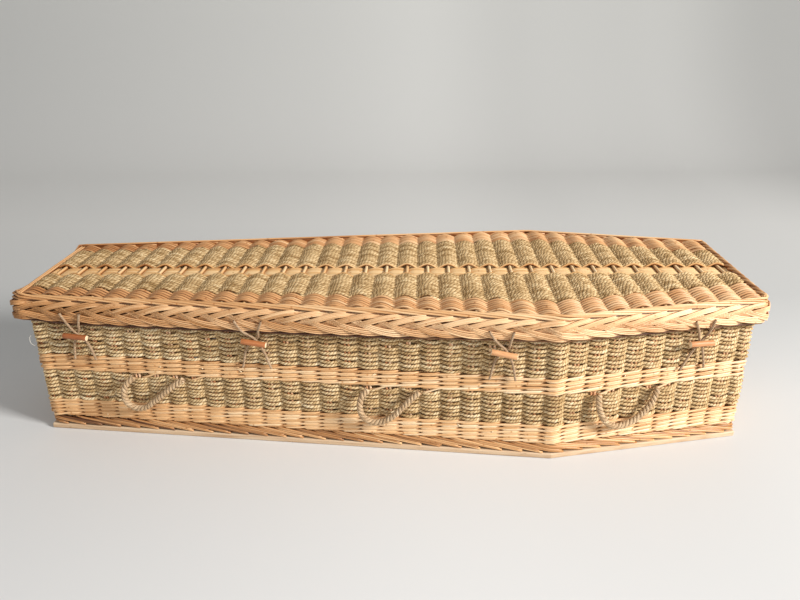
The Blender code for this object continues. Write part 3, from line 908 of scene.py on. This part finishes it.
def lid_panels():
    """The lid's woven top: willow rows along its sides, and cord rows between."""
    low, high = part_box("lid_near_willow_band")
    start, end = low[0], high[0]
    x = np.linspace(start, end, 400)
    boundary = np.interp(x, (start, SHOULDER_X, end), (
        edge_half(start) - BAND_FOOT,
        SHOULDER_WIDTH / 2 - BAND_SHOULDER,
        edge_half(end) - BAND_HEAD,
    ))
    for name, sign, inner in (("near", -1, -STRIP_FRONT), ("far", 1, STRIP_BACK)):
        cords = Strands()
        last_y = boundary.max() - LID_ROW * 0.3
        for row, y in enumerate(np.arange(inner + LID_ROW * 0.95, last_y, LID_ROW)):
            first, last = reach_of(x, boundary - y - LID_ROW * 0.45)
            if last - first > SHORTEST_ROW:
                lid_row(cords, ((first, sign * y), (last, sign * y)), LID_CORD_RADIUS, row)
        cords.build(f"lid_{name}_cord_rows", LID_CORD, "seagrass", f"lid_{name}_seagrass_panel")

        rods = Strands()
        for row, offset in enumerate(np.arange(LID_ROW * 0.18, BAND_HEAD - EDGE_LIP, LID_ROW)):
            first, last = reach_of(x, edge_half(x) - EDGE_LIP - boundary - offset)
            if last - first > SHORTEST_ROW:
                part = x[(x >= first) & (x <= last)]
                line = [(p, sign * (np.interp(p, x, boundary) + offset)) for p in part]
                lid_row(rods, line, LID_ROD_RADIUS, row, 6, 1.25, 0.10)
        rods.build(f"lid_{name}_rod_rows", BAND, "willow", f"lid_{name}_willow_band")


def centre_strip():
    """The flat willow strip along the middle, held down by the sticks, and the row of rods on
    each side of it that arches over every stick."""
    low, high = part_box("lid_centre_strip")
    pitch = STICK_SPAN / (STICKS - 1)
    spacing = (STRIP_BACK - STRIP_FRONT - 0.004) / STRIP_RODS
    count = int((high[0] - low[0]) / pitch * 10)
    x = np.linspace(low[0], high[0], count)
    from_stick = np.abs(np.mod(x + STICK_SPAN / 2 + pitch / 2, pitch) - pitch / 2)
    height = STICK_CENTRE - 0.0026 - 0.0062 * np.exp(-((from_stick / 0.0105) ** 2))
    strands = Strands()
    for rod in range(STRIP_RODS):
        y = STRIP_FRONT + 0.002 + (rod + 0.5) * spacing
        points = line_at(x, y + wander(count, 0.0003, 10), height + wander(count, 0.0002, 9))
        strands.add(points, UP, STRIP_ROD_RADIUS, 7, False, 0.75 + wander(count, 0.25, 30), 1.24)
    for y in (STRIP_FRONT + 0.0005, STRIP_BACK + 0.0070):
        line = ((low[0], y), (high[0], y))
        lid_row(strands, line, STRIP_EDGE_RADIUS, 0, 6, 1.0, 0.2, 0.0075)
    strands.build("lid_strip_rods", STRIP, "willow", "lid_centre_strip")


def sticks():
    """The willow sticks that run across the lid."""
    strands = Strands()
    for stick in range(STICKS):
        x = stick_x(stick)
        half = edge_half(x) - 0.012
        y = np.linspace(-half, half, 9)
        points = line_at(x + chance.normal(0, 0.0012) * y / half, y, STICK_CENTRE)
        strands.add(points, UP, STICK_RADIUS * (1 + 0.05 * np.sin(y * 9)), 8,
                    tone=chance.uniform(0.5, 1.0))
    strands.build("lid_sticks", STICK, "willow")


def smooth_route(points, spacing):
    """A smooth line through the points, sampled evenly."""
    points = np.asarray(points, float)
    run = run_along(points)
    slope = np.gradient(points, run, axis=0)
    count = max(8, int(run[-1] / spacing) + 1)
    spots = np.linspace(0, run[-1], count)
    i = np.minimum(np.searchsorted(run, spots, "right") - 1, len(points) - 2)
    width = (run[i + 1] - run[i])[:, None]
    t = (spots - run[i])[:, None] / width
    return ((2 * t ** 3 - 3 * t ** 2 + 1) * points[i]
            + (t ** 3 - 2 * t ** 2 + t) * width * slope[i]
            + (3 * t ** 2 - 2 * t ** 3) * points[i + 1]
            + (t ** 3 - t ** 2) * width * slope[i + 1])


def lobed(per_ply):
    """The radius round a laid rope, as shares of its own, and how open each place is, which the
    rope's material turns into painted shade in its grooves.
    """
    across = np.mod(np.arange(PLIES * per_ply) / per_ply, 1.0)
    dome = np.sqrt(np.clip(np.sin(math.pi * across), 0, 1))
    return GROOVE + (1 - GROOVE) * dome, dome


def laid(name, route, normal, radius, lay, per_ply, material, slot, replaced):
    """A laid rope or twine along a route. Gives its centre line."""
    path = smooth_route(route, lay / POINTS_PER_LAY)
    run = run_along(path)
    strands = Strands()
    strands.add(path, normal, radius, PLIES * per_ply, False, lobes=lobed(per_ply),
                spin=-2 * math.pi * run / lay)
    piece = strands.build(name, material, slot, replaced)
    return path


def outward_normal(side):
    return np.array((*wall_ways(side)[1], 0.0))


def toggles_and_ropes():
    """The pegs, their crossing twine and the rope handles, on the front and mirrored behind."""
    hairs = Strands()
    for face, mirror in (("front", 1.0), ("back", -1.0)):
        flip = np.array((1.0, mirror, 1.0))
        for number, entry in enumerate(TOGGLES, 1):
            side, middle, height, tilt, falling, rising = entry
            name = f"{face}_toggle_{number}"
            normal = outward_normal(side) * flip
            peg(f"{name}_peg", on_wall(side, middle, height, PEG_DEPTH) * flip, side, tilt, flip,
                PEG_PAINTED_LIGHT[number - 1])
            levels = (TWINE_TOP, SKIRT_FOOT, height + 0.008, height - 0.018, TWINE_BOTTOM)
            strands = (
                ("falling", falling, PEG_DEPTH - PEG_RADIUS - TWINE_RADIUS - 0.0003),
                ("rising", rising, PEG_DEPTH - PEG_RADIUS - 3 * TWINE_RADIUS - 0.002),
            )
            for strand, offsets, crossing in strands:
                depths = (0.0265, 0.0208, crossing, crossing * 0.88, TWINE_RADIUS + 0.0022)
                route = [on_wall(side, middle + offset, level, depth) * flip
                         for offset, level, depth in zip(offsets, levels, depths)]
                laid(f"{name}_{strand}_twine", route, normal, TWINE_LAID_RADIUS, TWINE_LAY, 4,
                     TWINE, "twine", f"{name}_twine_{strand}")
        for number, (side, route) in enumerate(HANDLES, 1):
            name = f"{face}_rope_handle_{number}"
            points = [on_wall(side, *point) * flip for point in route]
            normal = outward_normal(side) * flip
            path = laid(f"{name}_laid", points, normal, ROPE_RADIUS, ROPE_LAY, 7, ROPE, "rope",
                        name)
            loose_fibres(hairs, path, normal)
    hairs.build("rope_fibres", HAIR, "rope")


def loose_fibres(hairs, path, normal):
    """Fine loose fibres that stand off a rope."""
    heading = unit(np.gradient(path, axis=0))
    across = unit(np.cross(heading, normal))
    for _ in range(HAIRS):
        index = chance.integers(4, len(path) - 4)
        angle = chance.uniform(-1.9, 1.9)
        way = normal * math.cos(angle) + across[index] * math.sin(angle)
        length = chance.uniform(0.004, 0.010)
        w = np.linspace(0, 1, 4)[:, None]
        side = heading[index] * chance.normal(0.3, 0.8) + across[index] * chance.normal(0, 0.4)
        start = path[index] + way * ROPE_RADIUS * 0.85
        hair = start + way * length * 0.45 * w + side * length * w ** 1.6
        hairs.add(hair, heading[index] + 0.01, HAIR_RADIUS, 3)


def peg(name, middle, side, tilt, flip, seed):
    """A turned peg with a small bevel at each end and cut faces."""
    normal = outward_normal(side)
    axis = unit(np.array((-normal[1], normal[0], math.tan(math.radians(tilt))))) * flip
    ends = PEG_LENGTH / 2 - np.array((0.0, 0.0007, 0.0016, PEG_LENGTH / 4))
    path = middle + axis * np.concatenate([-ends, [0.0], ends[::-1]])[:, None]
    size = PEG_RADIUS * np.array((0.86, 0.95, 1.0, 0.985, 1.0, 0.98, 1.0, 0.95, 0.86))
    strands = Strands()
    tone = np.array((1.0, 0.62, 0.0, 0.0, 0.0, 0.0, 0.0, 0.62, 1.0))
    strands.add(path, normal * flip, size, 20, False, tone, seed=seed)
    strands.build(name + "_turned", PEG, "peg", name)


def thread_loop():
    """A thin pale thread that hangs in a loop at the foot end's front corner."""
    x, y = WALL[0]
    stops = ((0.001, 0.2920), (0.006, 0.2905), (0.0100, 0.2860), (0.0118, 0.2785),
             (0.0115, 0.2710), (0.0090, 0.2640), (0.0045, 0.2605), (0.0, 0.2590))
    route = [(x - out, y + 0.004 - out * 0.25, height) for out, height in stops]
    path = smooth_route(route, 0.004)
    strands = Strands()
    strands.add(path, np.array((0.0, -1.0, 0.2)), THREAD_RADIUS, 6, False, 1.0)
    piece = strands.build("thread_loop", THREAD, "twine")


WILLOW = willow_material("willow_rods", (186, 132, 82), (232, 184, 130), (246, 220, 180),
                         foot=-0.17)
PLAIT = willow_material("willow_plait", (198, 144, 92), (246, 202, 152), (252, 226, 184),
                        (184, 134, 94), foot=-0.36, head=-0.09)
EDGE = willow_material("willow_edge", (176, 120, 72), (222, 170, 116), (248, 212, 164))
BAND = willow_material("willow_lid_band", (166, 108, 60), (214, 160, 108), (248, 212, 164),
                       foot=-0.16, head=0.08)
RIM = willow_material("willow_rim", (160, 98, 54), (206, 148, 94), (232, 184, 130))
# The stakes are painted paler than the other willow: painted light where they show between the cord
# rows in shade.
STAKE = willow_material("willow_stakes", (214, 150, 104), (240, 190, 146), (252, 218, 180))
STICK = willow_material("willow_sticks", (206, 150, 92), (232, 184, 126), (248, 214, 164))
STRIP = willow_material("willow_strip", (196, 140, 84), (222, 172, 112), (240, 202, 148))
CORD = seagrass_material("body_cord", (168, 136, 92), (216, 186, 138), (240, 220, 180), 0.02, -0.05)
LID_CORD = seagrass_material("lid_cord", (156, 124, 80), (210, 178, 130), (236, 210, 164), -0.06,
                             -0.06)
ROPE = yarn_material("rope", (150, 118, 86), (202, 170, 132), (236, 212, 178), 40.0, 0.0012)
TWINE = yarn_material("twine", (138, 110, 84), (186, 156, 124), (216, 190, 160), 20.0, 0.0006)
THREAD = yarn_material("thread", (206, 198, 184), (226, 220, 208), (240, 236, 226), 9.0, 0.0002)
HAIR = yarn_material("rope_hair", (190, 156, 116), (220, 190, 150), (238, 214, 178), 9.0, 0.0002)
BOARD = board_material()
PEG = peg_material()


def dress_cad():
    """Every CAD node's own finish, seen wherever no woven piece stands for it."""
    finishes = {"willow": WILLOW, "seagrass": CORD, "board": BOARD, "peg": PEG, "twine": TWINE,
                "rope": ROPE}
    for name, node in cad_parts.items():
        old = node.data.materials[0].name.split(".")[0] if node.data.materials else "willow"
        node.data.materials.clear()
        node.data.materials.append(BOARD if name == "base_board" else finishes.get(old, WILLOW))


def backdrop():
    """A pale floor that curves up into a backdrop, with painted light and shade: greys that change
    from front to back, with a painted shadow behind the coffin, and darker towards the right.
    """
    profile = [(FLOOR_FRONT, 0.0)]
    for angle in np.linspace(0, math.pi / 2, CURVE_STEPS + 1):
        profile.append((CURVE_START + CURVE_RADIUS * math.sin(angle),
                        CURVE_RADIUS * (1 - math.cos(angle))))
    profile.append((CURVE_START + CURVE_RADIUS, BACKDROP_TOP))
    points = [(x, y, z) for y, z in profile for x in (-FLOOR_HALF, FLOOR_HALF)]
    faces = [(2 * i, 2 * i + 1, 2 * i + 3, 2 * i + 2) for i in range(len(profile) - 1)]
    mesh = bpy.data.meshes.new("floor")
    mesh.from_pydata(points, [], faces)
    mesh.shade_smooth()
    floor = put("floor", mesh)
    shader = Shader("floor", 0.9, 0.1)
    x, y = shader.split(shader.place())
    # Painted light and shade from front to back: a darker band just behind the coffin, and darker
    # high on the backdrop.
    tint = shader.tones(shader.math("DIVIDE", y, 5.0), (0.0, (224, 224, 223)),
                        (0.16, (212, 212, 210)), (0.36, (228, 227, 224)),
                        (0.60, (230, 229, 226)), (0.88, (216, 216, 213)))
    # Painted shade across the floor and backdrop, darker towards the right.
    across = shader.plus(shader.math("DIVIDE", x, 6.0), 0.5)
    shade = shader.ramp(across, [(place, (grey, grey, grey)) for place, grey in FLOOR_PAINTED_SHADE])
    shade.node.color_ramp.interpolation = "EASE"
    shader.colour(shader.multiply(tint, shade))
    mesh.materials.append(shader.material)


def area_light(name, place, aim, size, power, tint):
    """A rectangular light at a place, turned to what it aims at."""
    data = bpy.data.lights.new(name, "AREA")
    data.shape = "RECTANGLE"
    data.size, data.size_y = size
    data.energy = power
    data.color = tint
    lamp = put(name, data)
    lamp.location = place
    direction = Vector(aim) - Vector(place)
    lamp.rotation_euler = direction.to_track_quat("-Z", "Y").to_euler()


def light():
    """Soft light from the upper right, a weak fill, and an even white sky."""
    area_light("key", (5.2, -2.7, 3.2), (0.1, 0.0, 0.2), (1.5, 1.5), 570, (1.0, 0.985, 0.965))
    area_light("fill", (-0.8, -4.0, 2.4), (0.0, 0.0, 0.3), (3.0, 2.0), 32, (1.0, 0.99, 0.98))
    world = bpy.data.worlds.new("studio")
    bpy.context.scene.world = world
    world.use_nodes = True
    back = world.node_tree.nodes["Background"]
    back.inputs["Color"].default_value = (1.0, 1.0, 1.0, 1.0)
    back.inputs["Strength"].default_value = SKY_STRENGTH
    bpy.context.scene.view_settings.view_transform = "Standard"


def camera():
    data = bpy.data.cameras.new("camera")
    data.lens = LENS
    data.sensor_width = SENSOR_WIDTH
    made = put("camera", data)
    down, left, roll = (math.radians(angle) for angle in CAMERA_TURN)
    made.matrix_world = (Matrix.Translation(CAMERA_PLACE) @ Matrix.Rotation(left, 4, "Z")
                         @ Matrix.Rotation(math.pi / 2 - down, 4, "X")
                         @ Matrix.Rotation(roll, 4, "Z"))
    bpy.context.scene.camera = made


camera()
dress_cad()
toggles_and_ropes()
thread_loop()
stakes()
cord_rows("lower_cord_rows", "lower_seagrass_panel", 8, sag=True)
cord_rows("upper_cord_rows", "upper_seagrass_panel", 9)
wale_rows("middle_rod_rows", "middle_willow_band", 4, 14, bowed=True)
wale_rows("foot_rod_rows", "foot_willow_band", 5, 14, lower=0.008)
foot_track()
rim()
plait()
edge_rods()
lid_panels()
centre_strip()
sticks()
backdrop()
light()
